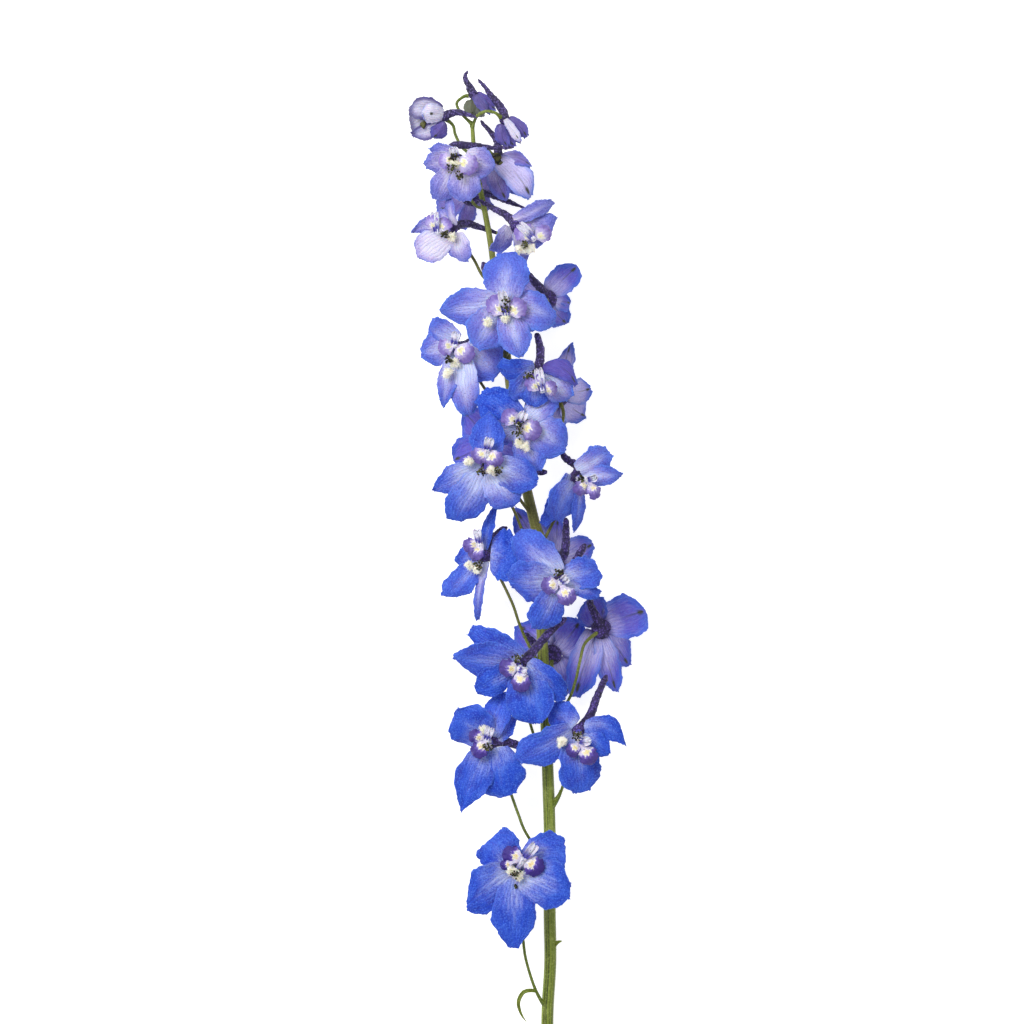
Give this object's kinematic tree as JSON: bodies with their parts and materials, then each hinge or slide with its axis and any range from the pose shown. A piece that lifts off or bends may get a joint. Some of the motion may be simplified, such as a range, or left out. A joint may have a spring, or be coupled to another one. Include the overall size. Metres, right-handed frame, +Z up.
{
  "type": "delphinium flower spike",
  "caption": "Cut delphinium spike lying on its side: a green stem with thin stalks, spurred blue-violet florets with pale eyes, and buds at the tip.",
  "frame": {"origin": "middle of the footprint, on the surface that the spike lies on", "axes": "+Z up from the surface, +Y along the stem from the cut end towards the tip, +X to the right seen from above with the tip at the top"},
  "size_m": [0.1016, 0.4311, 0.0542],
  "materials": {
    "stem_green": "satin",
    "sepal_blue": "matte",
    "sepal_violet": "matte",
    "eye_white": "matte"
  },
  "bodies": {
    "root": {"main_stem": "stem_green", "floret_01_sepals": "sepal_blue", "floret_02_sepals": "sepal_blue", "floret_03_sepals": "sepal_blue", "floret_04_sepals": "sepal_blue", "floret_05_sepals": "sepal_blue", "floret_06_sepals": "sepal_blue", "floret_07_sepals": "sepal_blue", "floret_08_sepals": "sepal_blue", "floret_09_sepals": "sepal_blue", "floret_10_sepals": "sepal_blue", "floret_11_sepals": "sepal_blue", "floret_12_sepals": "sepal_blue", "floret_13_sepals": "sepal_blue", "floret_14_sepals": "sepal_blue", "floret_15_sepals": "sepal_blue", "floret_16_sepals": "sepal_blue", "floret_17_sepals": "sepal_blue", "floret_18_sepals": "sepal_blue", "floret_19_sepals": "sepal_violet", "floret_20_sepals": "sepal_violet", "floret_21_sepals": "sepal_violet", "floret_22_sepals": "sepal_violet", "floret_23_sepals": "sepal_violet", "bud_left_sepals": "sepal_violet", "bud_right_sepals": "sepal_violet", "bud_top_sepals": "sepal_violet", "floret_01_eye": "eye_white", "floret_02_eye": "eye_white", "floret_03_eye": "eye_white", "floret_04_eye": "eye_white", "floret_05_eye": "eye_white", "floret_06_eye": "eye_white", "floret_07_eye": "eye_white", "floret_08_eye": "eye_white", "floret_09_eye": "eye_white", "floret_10_eye": "eye_white", "floret_11_eye": "eye_white", "floret_12_eye": "eye_white", "floret_13_eye": "eye_white", "floret_14_eye": "eye_white", "floret_15_eye": "eye_white", "floret_16_eye": "eye_white", "floret_17_eye": "eye_white", "floret_18_eye": "eye_white", "floret_19_eye": "eye_white", "floret_20_eye": "eye_white", "floret_21_eye": "eye_white", "floret_22_eye": "eye_white"}
  },
  "joints": []
}
